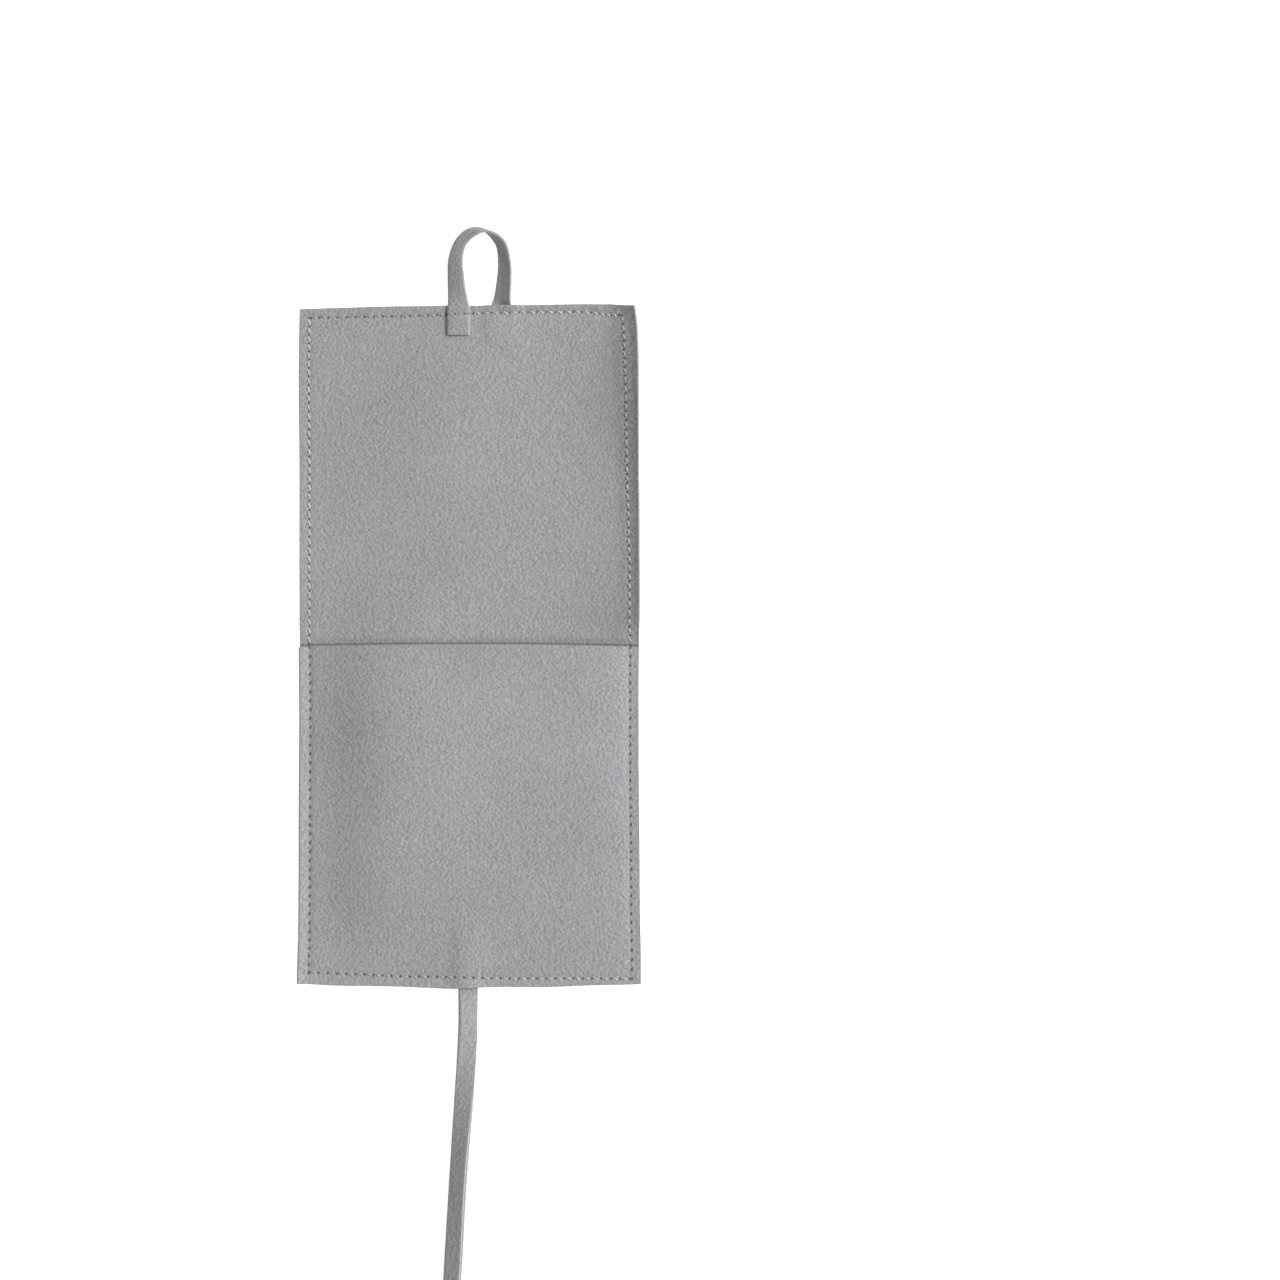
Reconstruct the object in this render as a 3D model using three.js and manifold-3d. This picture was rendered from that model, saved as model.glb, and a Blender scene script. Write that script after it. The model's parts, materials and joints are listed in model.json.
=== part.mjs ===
// A flap pouch for jewelry, in grey microfibre suede, lying open on its back.
// Millimetres. X runs across the pouch, Y from the pocket to the flap, and Z up from the table.
// The origin is the middle of the pocket's back, on the table.
import * as THREE from "three";
import Module from "manifold-3d";
import { mergeVertices } from "three/addons/utils/BufferGeometryUtils.js";

const wasm = await Module();
wasm.setup();

// Cloth
const pouchWidth = 100;
const pocketDepth = 100;
const flapLength = 100;
const clothThickness = 0.9;
const plyGap = 0.2; // between cloths that lie on each other
const foldGap = 0.3; // between the pocket's cloths and the flap's, along the fold

// Pocket front
const mouthSetback = 0.5; // the mouth's edge stops this far short of the fold
const gapeLift = 5.6; // how far the front stands off the lining at the middle of the mouth
const gapeRun = 50; // from the bottom seam to where the front stands off fully
const seamLand = 3; // flat cloth inside each seam, before the front rises
const frontColumns = 32;
const frontRows = 16;
const columnCrowding = 1.3; // above 1, columns crowd towards the middle
const rowCrowding = 1.6; // above 1, rows crowd towards the bottom seam

// Seams
const sideSeamInset = 2.6;
const topSeamInset = 2.2;
const bottomSeamInset = 2.5;
const stitchPitch = 2.65;
const threadWidth = 0.55;
const threadCrest = 0.5; // height of a stitch in the middle
const threadNeck = 0.2; // height of the thread where it dips at a needle hole
const threadGap = 0.3; // from the cloth to the thread
const seamEndGap = 0.3; // from one seam's thread to the next round a corner

// Loop at the flap's edge
const strapWidth = 6.7;
const strapThickness = 0.9;
const frontTabX = -3;
const frontTabLength = 8.8;
const tuckedEndX = 9.65;
const tuckedEndLength = 8;
const tuckClearance = 0.15; // round the end that is tucked between shell and lining
const loopStandOff = 0.7; // from the flap's edge to the loose loop
const loopHingeReach = 1.5; // from the flap's edge to the line that the loop bends about
const loopHeight = 22.6; // flap's edge to the middle of the strap at the loop's end
const loopBellyHeight = 11.5; // flap's edge to where the legs bow furthest out
const loopShoulderHeight = 18.6; // flap's edge to where the legs turn in
const loopSwell = 1; // how far each leg bows outwards
const loopShoulderDraw = 0.6; // how far each leg has drawn in at the shoulder
const loopBellyDip = 0.4; // how much lower the legs lie there than the loop's end
const loopEndX = 3.6;
const loopTableGap = 0.1; // under the loop where it lies on edge
const loopSteps = 36;
const loopRolls = [0, 34, 50, 84, 126, 136, 165]; // degrees turned over, at each point of the loop

// Tie, a ribbon folded in half
const tieWidth = 5.7;
const tieThickness = 0.8;
const tiePlyGap = 0.4; // between the tie's two layers
const tieX = -0.3;
const tieSewnLength = 12; // from the pocket's bottom edge to the fold in the tie
const tieJoinGap = 0.3; // from one stretch of the tie to the next
const tieFreeLength = 220; // each tail, from the pocket's bottom edge to its cut end
const tieTableGap = 0.1;
const tieSteps = 40;
const tunnelPlay = 1; // sideways room for the tie under the pocket front
const tunnelRamp = 7; // run of the pocket front's slope beside and above the tie
const curlRadius = 21.5; // middle of the pair of tails
const curlSteps = 24;
const leastCurlGap = 0.4;

// Fold of the flap
const shutClearance = 0.3; // from the shut flap's lining to the pocket front

// Levels
const shellTop = clothThickness;
const liningBase = shellTop + plyGap;
const liningTop = liningBase + clothThickness;
const frontBase = liningTop + plyGap;
const frontTop = frontBase + clothThickness;
const strapBase = liningTop + plyGap;
const strapTop = strapBase + strapThickness;
const tieLowerBase = liningTop + plyGap;
const tieStep = tieThickness + tiePlyGap;
const tieTop = tieLowerBase + tieStep + tieThickness;
const tunnelLift = tieTop + plyGap - frontBase;

// Lines
const halfWidth = pouchWidth / 2;
const bottomY = -pocketDepth / 2;
const foldY = pocketDepth / 2;
const flapEdgeY = foldY + flapLength;
const sideSeamX = halfWidth - sideSeamInset;
const topSeamY = flapEdgeY - topSeamInset;
const bottomSeamY = bottomY + bottomSeamInset;
const mouthY = foldY - mouthSetback;

// The flap bends about a line above the fold, so that it comes to lie on the pocket front.
const flapHingeZ = (frontTop + gapeLift + shutClearance + liningTop) / 2;
// The loop bends about a line just off the flap's edge, midway between its two legs.
const tuckedEndZ = (shellTop + liningBase) / 2;
const frontLegZ = strapBase + strapThickness / 2;
const loopHinge = [0, flapEdgeY + loopHingeReach, (tuckedEndZ + frontLegZ) / 2];
console.log(`flap hinge at y ${foldY}, z ${flapHingeZ.toFixed(3)}; loop hinge at ${loopHinge.join(", ")}`);

const suede = new THREE.MeshStandardMaterial({ color: 0xa3a4a6, roughness: 0.95, metalness: 0 });
const strapSuede = new THREE.MeshStandardMaterial({ color: 0x9c9da0, roughness: 0.95, metalness: 0 });
const thread = new THREE.MeshStandardMaterial({ color: 0xb8babd, roughness: 0.7, metalness: 0 });

function namedMesh(name, geometry, material) {
  const mesh = new THREE.Mesh(geometry, material);
  mesh.name = name;
  return mesh;
}

function toSolid(geometry) {
  const bare = geometry.clone();
  bare.deleteAttribute("normal");
  bare.deleteAttribute("uv");
  const merged = mergeVertices(bare);
  return new wasm.Manifold(
    new wasm.Mesh({
      numProp: 3,
      vertProperties: merged.attributes.position.array,
      triVerts: Uint32Array.from(merged.index.array),
    }),
  );
}

function toGeometry(solid) {
  const mesh = solid.getMesh();
  const geometry = new THREE.BufferGeometry();
  geometry.setAttribute("position", new THREE.BufferAttribute(mesh.vertProperties, 3));
  geometry.setIndex(new THREE.BufferAttribute(mesh.triVerts, 1));
  geometry.computeVertexNormals();
  return geometry;
}

// A flat piece of cloth or strap from one corner to the opposite one.
function flatPiece(low, high) {
  const size = high.map((value, i) => value - low[i]);
  const middle = high.map((value, i) => (value + low[i]) / 2);
  return new THREE.BoxGeometry(...size).translate(...middle);
}

function pocketSheet(base) {
  return flatPiece([-halfWidth, bottomY, base], [halfWidth, foldY - foldGap / 2, base + clothThickness]);
}

// Room for the loop's tucked end, pressed half into the shell and half into the lining.
function tuckRoom() {
  const reach = strapWidth / 2 + tuckClearance;
  const half = strapThickness / 2 + tuckClearance;
  return flatPiece(
    [tuckedEndX - reach, flapEdgeY - tuckedEndLength - tuckClearance, tuckedEndZ - half],
    [tuckedEndX + reach, flapEdgeY + tuckClearance, tuckedEndZ + half],
  );
}

function flapSheet(base) {
  const sheet = flatPiece(
    [-halfWidth, foldY + foldGap / 2, base],
    [halfWidth, flapEdgeY, base + clothThickness],
  );
  return toGeometry(toSolid(sheet).subtract(toSolid(tuckRoom())));
}

// How far the pocket front stands off the lining because the pocket gapes.
function gapeAt(x, y) {
  const across = Math.min(1, Math.abs(x) / (sideSeamX - seamLand));
  const along = THREE.MathUtils.clamp((y - bottomSeamY - seamLand) / gapeRun, 0, 1);
  return gapeLift * (1 - across ** 3) * (1 - (1 - along) ** 2);
}

// How far it stands off where the tie's sewn end lies under it.
function tunnelAt(x, y) {
  const past = Math.hypot(
    Math.max(0, Math.abs(x - tieX) - tieWidth / 2 - tunnelPlay),
    Math.max(0, y - bottomY - tieSewnLength - tunnelPlay),
  );
  const slope = Math.min(1, past / tunnelRamp);
  return (tunnelLift * (1 + Math.cos(Math.PI * slope))) / 2;
}

function frontLift(x, y) {
  return Math.max(gapeAt(x, y), tunnelAt(x, y));
}

function pocketFront() {
  const depth = mouthY - bottomY;
  const geometry = new THREE.BoxGeometry(2, 1, clothThickness, frontColumns, frontRows, 1);
  const points = geometry.attributes.position;
  for (let i = 0; i < points.count; i++) {
    const column = points.getX(i);
    const row = points.getY(i) + 0.5;
    const x = halfWidth * Math.sign(column) * Math.abs(column) ** columnCrowding;
    const y = bottomY + depth * row ** rowCrowding;
    const z = frontBase + clothThickness / 2 + points.getZ(i) + frontLift(x, y);
    points.setXYZ(i, x, y, z);
  }
  geometry.computeVertexNormals();
  return geometry;
}

// A seam's thread along +X from the origin: a low hump for each stitch, dipping at every needle hole.
// liftAt gives the height of the cloth below it.
function seamThread(length, liftAt) {
  const count = Math.max(1, Math.round(length / stitchPitch));
  const step = length / count;
  const profile = new THREE.Shape();
  profile.moveTo(0, liftAt(0) + threadGap);
  for (let i = 1; i <= count; i++) {
    profile.lineTo(i * step, liftAt(i * step) + threadGap);
  }
  for (let i = count; i > 0; i--) {
    const end = i * step;
    profile.lineTo(end, liftAt(end) + threadGap + threadNeck);
    for (const share of [0.25, 0.75]) {
      const along = end - share * step;
      const ground = THREE.MathUtils.lerp(liftAt(end), liftAt(end - step), share);
      profile.lineTo(along, ground + threadGap + threadCrest);
    }
  }
  profile.lineTo(0, liftAt(0) + threadGap + threadNeck);
  const geometry = new THREE.ExtrudeGeometry(profile, { depth: threadWidth, bevelEnabled: false });
  return geometry.rotateX(Math.PI / 2).translate(0, threadWidth / 2, 0);
}

function sideSeam(x, fromY, toY, base) {
  return seamThread(toY - fromY, () => base).rotateZ(Math.PI / 2).translate(x, fromY, 0);
}

// Across the pouch between the two side seams.
function crossSeam(y, liftAt) {
  const start = -sideSeamX + threadWidth / 2 + seamEndGap;
  return seamThread(-2 * start, (along) => liftAt(start + along)).translate(start, y, 0);
}

// The flap's top seam climbs over the loop's front tab within a stitch or two.
function tabLift(x) {
  const past = Math.abs(x - frontTabX) - strapWidth / 2 - stitchPitch;
  const slope = THREE.MathUtils.clamp(past / stitchPitch, 0, 1);
  return THREE.MathUtils.lerp(strapTop, liningTop, slope);
}

// The middle line of a strap, which also knows how far the strap has rolled about it.
// A roll of 0 lies flat, with the strap's face up.
class StrapPath extends THREE.CatmullRomCurve3 {
  constructor(points, rollAt) {
    super(points, false, "centripetal");
    this.rollAt = rollAt;
  }

  computeFrenetFrames(steps) {
    const up = new THREE.Vector3(0, 0, 1);
    const frames = { tangents: [], normals: [], binormals: [] };
    for (let i = 0; i <= steps; i++) {
      const tangent = this.getTangentAt(i / steps);
      const side = new THREE.Vector3().crossVectors(tangent, up).normalize();
      const face = new THREE.Vector3().crossVectors(side, tangent);
      const roll = THREE.MathUtils.degToRad(this.rollAt(i / steps));
      frames.tangents.push(tangent);
      frames.normals.push(face.applyAxisAngle(tangent, roll));
      frames.binormals.push(side.applyAxisAngle(tangent, roll));
    }
    return frames;
  }
}

function strapAlong(path, width, thickness, steps) {
  const section = new THREE.Shape();
  section.moveTo(-thickness / 2, -width / 2);
  section.lineTo(thickness / 2, -width / 2);
  section.lineTo(thickness / 2, width / 2);
  section.lineTo(-thickness / 2, width / 2);
  return new THREE.ExtrudeGeometry(section, { steps, extrudePath: path });
}

// The loose loop: flat on the flap's face at one end, on edge at the top, nearly turned over at the other.
function loopArch() {
  const onEdgeZ = strapWidth / 2 + loopTableGap;
  const lastRoll = THREE.MathUtils.degToRad(loopRolls.at(-1));
  const lastRise = strapWidth * Math.sin(lastRoll) - strapThickness * Math.cos(lastRoll);
  const bellyY = flapEdgeY + loopBellyHeight;
  const shoulderY = flapEdgeY + loopShoulderHeight;
  const points = [
    new THREE.Vector3(frontTabX, flapEdgeY + loopStandOff, frontLegZ),
    new THREE.Vector3(frontTabX - loopSwell, bellyY, onEdgeZ - loopBellyDip),
    new THREE.Vector3(frontTabX + loopShoulderDraw, shoulderY, onEdgeZ),
    new THREE.Vector3(loopEndX, flapEdgeY + loopHeight, onEdgeZ),
    new THREE.Vector3(tuckedEndX - loopShoulderDraw, shoulderY, onEdgeZ),
    new THREE.Vector3(tuckedEndX + loopSwell, bellyY, onEdgeZ - loopBellyDip),
    new THREE.Vector3(tuckedEndX, flapEdgeY + loopStandOff, loopTableGap + lastRise / 2),
  ];
  const rolls = new THREE.SplineCurve(loopRolls.map((roll, i) => new THREE.Vector2(i, -roll)));
  const path = new StrapPath(points, (share) => rolls.getPoint(path.getUtoTmapping(share)).y);
  return strapAlong(path, strapWidth, strapThickness, loopSteps);
}

// The tie's fold inside the pocket: two flat layers and the bend between them.
function tieSewnFold() {
  const outer = (tieStep + tieThickness) / 2;
  const bendY = bottomY + tieSewnLength - outer;
  const bendZ = tieLowerBase + outer;
  const inner = tiePlyGap / 2;
  const quarter = Math.PI / 2;
  const profile = new THREE.Shape();
  profile.moveTo(bottomY, bendZ - outer);
  profile.absarc(bendY, bendZ, outer, -quarter, quarter, false);
  profile.lineTo(bottomY, bendZ + outer);
  profile.lineTo(bottomY, bendZ + inner);
  profile.absarc(bendY, bendZ, inner, quarter, -quarter, true);
  profile.lineTo(bottomY, bendZ - inner);
  const geometry = new THREE.ExtrudeGeometry(profile, {
    depth: tieWidth,
    bevelEnabled: false,
    curveSegments: 8,
  });
  // The profile's own axes become Y and Z, and its depth becomes X.
  geometry.rotateX(Math.PI / 2).rotateZ(Math.PI / 2);
  return geometry.translate(tieX - tieWidth / 2, 0, 0);
}

// The tails' route: across from the seam's middle, below the bottom edge, share of the exit's height, tilt.
const tieRoute = [
  [0, 0, 1, 0],
  [-0.1, 5, 0.72, 0],
  [-0.2, 11, 0.26, 0],
  [-0.4, 18, 0, 2],
  [-1.1, 34, 0, 10],
  [-1.8, 47, 0, 24],
  [-2.5, 58, 0, 30],
  [-3.1, 68, 0, 28],
  [-4.1, 85, 0, 22],
  [-4.7, 95, 0, 42],
  [-5.2, 105, 0, 66],
  [-5.6, 115, 0, 90],
];

// Both tails follow the route one on the other: layer 0 lies on the table, and layer 1 on its face.
function tailPath(layer) {
  const exitHeight = tieLowerBase - tieTableGap;
  const points = tieRoute.map(([across, below, height, tilt]) => {
    const angle = THREE.MathUtils.degToRad(tilt);
    const rest = tieTableGap + (tieThickness * Math.cos(angle) + tieWidth * Math.sin(angle)) / 2;
    return new THREE.Vector3(
      tieX + across - layer * tieStep * Math.sin(angle),
      bottomY - below - (below === 0 ? tieJoinGap : 0),
      rest + height * exitHeight + layer * tieStep * Math.cos(angle),
    );
  });
  const tilts = new THREE.SplineCurve(tieRoute.map(([, below, , tilt]) => new THREE.Vector2(below, tilt)));
  const path = new StrapPath(points, (share) => tilts.getPoint(path.getUtoTmapping(share)).y);
  return path;
}

// Past the route each tail stands on edge and curls round in most of a turn.
class CurlPath extends THREE.Curve {
  constructor(start, radius, length) {
    super();
    this.start = start;
    this.radius = radius;
    this.turn = length / radius;
  }

  getPoint(share) {
    const angle = share * this.turn;
    return new THREE.Vector3(
      this.start.x + this.radius * (1 - Math.cos(angle)),
      this.start.y - this.radius * Math.sin(angle),
      this.start.z,
    );
  }

  computeFrenetFrames(steps) {
    const frames = { tangents: [], normals: [], binormals: [] };
    for (let i = 0; i <= steps; i++) {
      const tangent = this.getTangentAt(i / steps);
      const side = new THREE.Vector3(0, 0, 1);
      frames.tangents.push(tangent);
      frames.binormals.push(side);
      frames.normals.push(new THREE.Vector3().crossVectors(side, tangent));
    }
    return frames;
  }
}

function tailCurlPath(layer, tail) {
  const start = tail.getPointAt(1).add(new THREE.Vector3(0, -tieJoinGap, 0));
  const radius = curlRadius + (layer - 0.5) * tieStep;
  const length = tieFreeLength - tail.getLength() - tieJoinGap;
  return new CurlPath(start, radius, length);
}

// The least gap between points of a curl that lie over a quarter turn apart, less the ribbon's thickness.
function leastGap(path) {
  const points = path.getSpacedPoints(curlSteps * 4);
  const quarter = Math.ceil((points.length * Math.PI) / 2 / path.turn);
  let least = Infinity;
  for (let i = 0; i < points.length; i++) {
    for (let j = i + quarter; j < points.length; j++) {
      least = Math.min(least, points[i].distanceTo(points[j]));
    }
  }
  return least - tieThickness;
}

function addTail(group, name, layer) {
  const tail = tailPath(layer);
  const curl = tailCurlPath(layer, tail);
  const gap = leastGap(curl);
  console.log(`${name}: least gap of its curl to itself ${gap.toFixed(2)} mm, over ${leastCurlGap} mm`);
  group.add(namedMesh(`${name}_tail`, strapAlong(tail, tieWidth, tieThickness, tieSteps), strapSuede));
  group.add(namedMesh(`${name}_curl`, strapAlong(curl, tieWidth, tieThickness, curlSteps), strapSuede));
}

function makePocket() {
  const pocket = new THREE.Group();
  const sideEnd = mouthY - plyGap;
  pocket.add(namedMesh("pocket_back_shell", pocketSheet(0), suede));
  pocket.add(namedMesh("pocket_back_lining", pocketSheet(liningBase), suede));
  pocket.add(namedMesh("pocket_front", pocketFront(), suede));
  pocket.add(namedMesh("pocket_seam_left", sideSeam(-sideSeamX, bottomSeamY, sideEnd, frontTop), thread));
  pocket.add(namedMesh("pocket_seam_right", sideSeam(sideSeamX, bottomSeamY, sideEnd, frontTop), thread));
  const bottomLift = (x) => frontTop + frontLift(x, bottomSeamY);
  pocket.add(namedMesh("pocket_seam_bottom", crossSeam(bottomSeamY, bottomLift), thread));
  pocket.add(namedMesh("tie_sewn_fold", tieSewnFold(), strapSuede));
  addTail(pocket, "tie_lower", 0);
  addTail(pocket, "tie_upper", 1);
  return pocket;
}

function makeFlap() {
  const flap = new THREE.Group();
  const sideStart = foldY + foldGap;
  flap.add(namedMesh("flap_shell", flapSheet(0), suede));
  flap.add(namedMesh("flap_lining", flapSheet(liningBase), suede));
  flap.add(namedMesh("flap_seam_left", sideSeam(-sideSeamX, sideStart, topSeamY, liningTop), thread));
  flap.add(namedMesh("flap_seam_right", sideSeam(sideSeamX, sideStart, topSeamY, liningTop), thread));
  flap.add(namedMesh("flap_seam_top", crossSeam(topSeamY, tabLift), thread));
  const frontTab = flatPiece(
    [frontTabX - strapWidth / 2, flapEdgeY - frontTabLength, strapBase],
    [frontTabX + strapWidth / 2, flapEdgeY, strapTop],
  );
  flap.add(namedMesh("loop_front_tab", frontTab, strapSuede));
  const tuckedEnd = flatPiece(
    [tuckedEndX - strapWidth / 2, flapEdgeY - tuckedEndLength, tuckedEndZ - strapThickness / 2],
    [tuckedEndX + strapWidth / 2, flapEdgeY, tuckedEndZ + strapThickness / 2],
  );
  flap.add(namedMesh("loop_tucked_end", tuckedEnd, strapSuede));
  return flap;
}

function makeLoop() {
  const loop = new THREE.Group();
  loop.add(namedMesh("loop_arch", loopArch(), strapSuede));
  return loop;
}

const pouch = new THREE.Group();
pouch.add(makePocket());
pouch.add(makeFlap());
pouch.add(makeLoop());

export default pouch;
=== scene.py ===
import bpy
import bmesh
import json
import math
import random
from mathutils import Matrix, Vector, noise
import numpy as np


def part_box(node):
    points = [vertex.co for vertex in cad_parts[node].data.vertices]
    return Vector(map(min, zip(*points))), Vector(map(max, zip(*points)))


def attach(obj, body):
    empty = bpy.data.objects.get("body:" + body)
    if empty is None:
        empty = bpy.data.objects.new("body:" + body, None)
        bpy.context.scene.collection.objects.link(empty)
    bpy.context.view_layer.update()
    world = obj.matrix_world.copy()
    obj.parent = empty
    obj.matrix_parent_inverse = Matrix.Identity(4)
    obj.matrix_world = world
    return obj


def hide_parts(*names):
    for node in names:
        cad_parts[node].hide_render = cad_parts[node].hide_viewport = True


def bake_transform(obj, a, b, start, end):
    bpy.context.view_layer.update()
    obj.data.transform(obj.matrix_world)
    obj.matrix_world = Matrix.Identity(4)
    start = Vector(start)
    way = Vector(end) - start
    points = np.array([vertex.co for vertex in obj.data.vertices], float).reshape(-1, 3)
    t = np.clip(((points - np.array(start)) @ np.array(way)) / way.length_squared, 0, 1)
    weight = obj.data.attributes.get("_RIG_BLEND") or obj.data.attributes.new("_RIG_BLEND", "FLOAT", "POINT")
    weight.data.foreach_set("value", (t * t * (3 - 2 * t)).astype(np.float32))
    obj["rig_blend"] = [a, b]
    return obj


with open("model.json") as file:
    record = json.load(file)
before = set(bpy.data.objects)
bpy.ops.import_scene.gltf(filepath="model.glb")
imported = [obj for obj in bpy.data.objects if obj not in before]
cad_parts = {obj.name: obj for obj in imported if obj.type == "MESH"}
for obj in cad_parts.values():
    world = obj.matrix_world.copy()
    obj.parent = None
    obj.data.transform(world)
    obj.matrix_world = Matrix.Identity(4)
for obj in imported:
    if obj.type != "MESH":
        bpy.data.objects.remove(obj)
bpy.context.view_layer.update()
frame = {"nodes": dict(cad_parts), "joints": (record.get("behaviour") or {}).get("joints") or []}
mm = 0.001
rng = random.Random(11)
nodeBox = {name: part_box(name) for name in frame["nodes"]}


def span(node, axis):  # a CAD node's lowest and highest value along one axis, in mm
    low, high = nodeBox[node]
    return low[axis] / mm, high[axis] / mm


def middle(node, axis):
    return sum(span(node, axis)) / 2


def mix(a, b, t):
    return a + (b - a) * t


def ease(t):
    t = min(1.0, max(0.0, t))
    return t * t * (3 - 2 * t)


def fade(at, start, end):  # 0 up to start, rising smoothly to 1 at end; end may lie below start
    return ease((at - start) / (end - start))


def bell(t):  # 1 at 0, fading to 0 at -1 and 1
    return 0.5 + 0.5 * math.cos(math.pi * min(1.0, abs(t)))


def through(points, at):  # smooth curve through pairs of place and value
    at = min(points[-1][0], max(points[0][0], at))
    k = max(i for i in range(len(points) - 1) if points[i][0] <= at)
    slopes = []
    for i in (k, k + 1):
        low, high = points[max(0, i - 1)], points[min(len(points) - 1, i + 1)]
        slopes.append((high[1] - low[1]) / (high[0] - low[0]))
    (start, a), (end, b) = points[k], points[k + 1]
    run = end - start
    t = (at - start) / run
    bend = (t**3 - 2 * t**2 + t) * slopes[0] + (t**3 - t**2) * slopes[1]
    return mix(a, b, ease(t)) + bend * run


# camera straight above the table, framed as the photograph at the height of the cloth
cameraSet = {"aim": (50.4, 51.5), "height": 1202, "clothHeight": 2, "frameWidth": 377.6, "sensor": 36}

cameraData = bpy.data.cameras.new("overhead")
cameraData.sensor_width = cameraSet["sensor"]
distance = cameraSet["height"] - cameraSet["clothHeight"]
cameraData.lens = cameraSet["sensor"] * distance / cameraSet["frameWidth"]
camera = bpy.data.objects.new("overhead", cameraData)
camera.location = Vector((*cameraSet["aim"], cameraSet["height"])) * mm
bpy.context.scene.collection.objects.link(camera)
bpy.context.scene.camera = camera
print("camera ready")


# node helpers: a socket is linked to an input, a plain value is set on it
def feed(tree, node, feeds):
    for key, value in feeds.items():
        if isinstance(value, bpy.types.NodeSocket):
            tree.links.new(value, node.inputs[key])
        else:
            node.inputs[key].default_value = value


def put(tree, kind, feeds=None, **settings):
    made = tree.nodes.new(kind)
    for key, value in settings.items():
        setattr(made, key, value)
    feed(tree, made, feeds or {})
    return made


def calc(tree, operation, *values):
    return put(tree, "ShaderNodeMath", dict(enumerate(values)), operation=operation).outputs[0]


def vectorCalc(tree, operation, vector, other):
    feeds = {0: vector, "Scale" if operation == "SCALE" else 1: other}
    return put(tree, "ShaderNodeVectorMath", feeds, operation=operation).outputs[0]


def remap(tree, value, fromLow, fromHigh, toLow=0.0, toHigh=1.0, way="LINEAR"):
    feeds = {"Value": value, "From Min": fromLow, "From Max": fromHigh, "To Min": toLow, "To Max": toHigh}
    return put(tree, "ShaderNodeMapRange", feeds, interpolation_type=way).outputs[0]


def noiseAt(tree, vector, scale, detail=2.0, rough=0.55):
    feeds = {"Vector": vector, "Scale": scale, "Detail": detail, "Roughness": rough}
    return put(tree, "ShaderNodeTexNoise", feeds)


def tint(tree, share, color, tone):  # lays a share of tone over color
    return put(tree, "ShaderNodeMix", {0: share, 6: color, 7: tone}, data_type="RGBA").outputs[2]


def newGroup(name, inputs, outputs):
    group = bpy.data.node_groups.new(name, "ShaderNodeTree")
    for label, kind, value in inputs:
        group.interface.new_socket(name=label, in_out="INPUT", socket_type=kind).default_value = value
    for label, kind in outputs:
        group.interface.new_socket(name=label, in_out="OUTPUT", socket_type=kind)
    return group, group.nodes.new("NodeGroupInput").outputs, group.nodes.new("NodeGroupOutput").inputs


# brushed nap: slanting flecks of fibre, a finer layer under them, and soft handled patches
napSet = {
    "sway": 1.1,  # how far the flecks stray
    "swayScale": 0.35,
    "layers": [  # turn, scale, shift across, share; the shifted ones are the furrows beside the flecks
        (14, (1.95, 1.25, 1), 0, 0.7), (-24, (4.0, 2.7, 1), 0, 0.3),
        (14, (1.95, 1.25, 1), 0.72, -0.12), (14, (1.95, 1.25, 1), -0.72, -0.12),
    ],
    "fibreDetail": 0.4,
    "fibreRough": 0.5,
    "contrast": (0.3, 0.7),
    "patchScale": 0.032,
    "roughness": (0.97, 0.86),  # between the flecks and on them
}


def makeNapGroup():
    group, take, give = newGroup(
        "suedeNap",
        [
            ("Cloth", "NodeSocketVector", (0, 0, 0)),
            ("Seed", "NodeSocketFloat", 0.0),
            ("Tone", "NodeSocketColor", (0.3, 0.3, 0.31, 1)),
            ("Fleck", "NodeSocketFloat", 0.3),
            ("Patch", "NodeSocketFloat", 0.1),
        ],
        [("Color", "NodeSocketColor"), ("Height", "NodeSocketFloat"), ("Roughness", "NodeSocketFloat")],
    )
    shift = put(group, "ShaderNodeCombineXYZ", {0: take["Seed"], 1: take["Seed"], 2: take["Seed"]}).outputs[0]
    at = vectorCalc(group, "ADD", take["Cloth"], shift)
    sway = noiseAt(group, at, napSet["swayScale"], 1.0).outputs[1]
    sway = vectorCalc(group, "SCALE", vectorCalc(group, "SUBTRACT", sway, (0.5, 0.5, 0.5)), napSet["sway"])
    bent = vectorCalc(group, "ADD", at, sway)
    flecks = 0.5 - 0.5 * sum(layer[3] for layer in napSet["layers"])  # keeps the layers' mean at one half
    for angle, scale, aside, share in napSet["layers"]:
        beside = vectorCalc(group, "ADD", bent, (aside, 0, 0))
        feeds = {"Vector": beside, "Rotation": (0, 0, math.radians(angle)), "Scale": scale}
        turned = put(group, "ShaderNodeMapping", feeds).outputs[0]
        fibre = noiseAt(group, turned, 1.0, napSet["fibreDetail"], napSet["fibreRough"]).outputs[0]
        flecks = calc(group, "ADD", flecks, calc(group, "MULTIPLY", fibre, share))
    flecks = remap(group, flecks, *napSet["contrast"])
    patches = noiseAt(group, at, napSet["patchScale"]).outputs[0]
    gain = calc(group, "MULTIPLY", calc(group, "SUBTRACT", flecks, 0.5), take["Fleck"])
    drift = calc(group, "MULTIPLY", calc(group, "SUBTRACT", patches, 0.5), take["Patch"])
    light = calc(group, "ADD", calc(group, "ADD", gain, drift), 1.0)
    group.links.new(vectorCalc(group, "SCALE", take["Tone"], light), give["Color"])
    group.links.new(flecks, give["Height"])
    group.links.new(remap(group, flecks, 0, 1, *napSet["roughness"]), give["Roughness"])
    return group


# a row of needle holes: Across is the distance from the seam, Along the distance on it, all in mm
needleSet = {
    "inputs": {"Across": 0.0, "Along": 0.0, "Start": 0.0, "End": 1.0, "Step": 2.65, "Radius": 0.45,
               "Stretch": 1.0, "Lean": 0.0},
    "core": 0.35,  # share of the radius that is fully dark
    "overrun": 0.6,  # past the first and the last hole
}


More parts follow.
